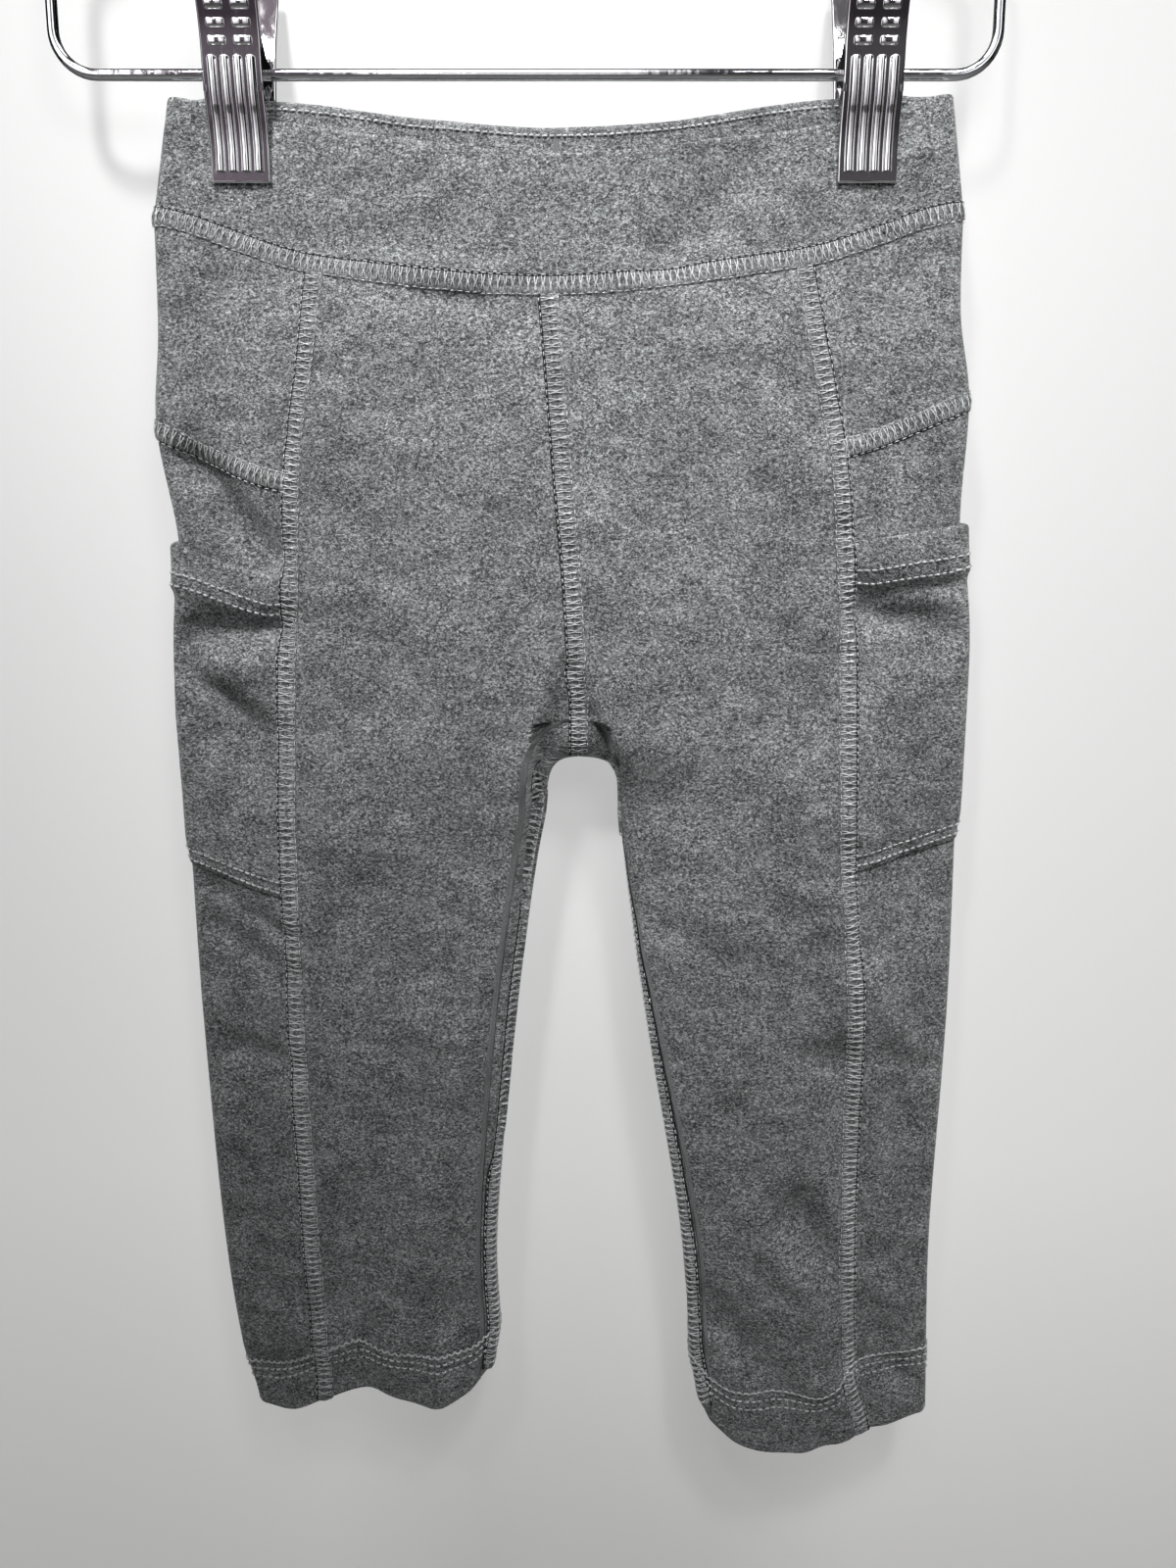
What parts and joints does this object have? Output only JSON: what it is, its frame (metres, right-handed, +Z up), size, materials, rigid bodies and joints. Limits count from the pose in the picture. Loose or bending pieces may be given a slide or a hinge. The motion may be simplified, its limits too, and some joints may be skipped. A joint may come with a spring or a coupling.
{
  "type": "leggings on a clip hanger",
  "caption": "Child's capri leggings with side patch pockets, hung flat by their waistband from a wire clip hanger.",
  "frame": {"origin": "where the hanger's hook rests on its rail, at the top inside of the hook", "axes": "+Z up, +X towards the wearer's left, -Y out of the front of the leggings"},
  "size_m": [0.2766, 0.0322, 0.5963],
  "materials": {
    "jersey": "brushed heather-grey jersey with fine wales, matt with a short nap",
    "chrome": "bright chrome plate on steel wire and stamped sheet",
    "spring_steel": "plain spring steel"
  },
  "bodies": {
    "root": {"waistband": "jersey", "front_right": "jersey", "front_left": "jersey", "yoke_right": "jersey", "yoke_left": "jersey", "side_right": "jersey", "side_left": "jersey", "back_right": "jersey", "back_left": "jersey", "pocket_right": "jersey", "pocket_left": "jersey", "hanger_frame": "chrome", "hanger_hook": "chrome", "clip_right_front_jaw": "chrome", "clip_right_back_jaw": "chrome", "clip_right_spring": "spring_steel", "clip_left_front_jaw": "chrome", "clip_left_back_jaw": "chrome", "clip_left_spring": "spring_steel"}
  },
  "joints": []
}
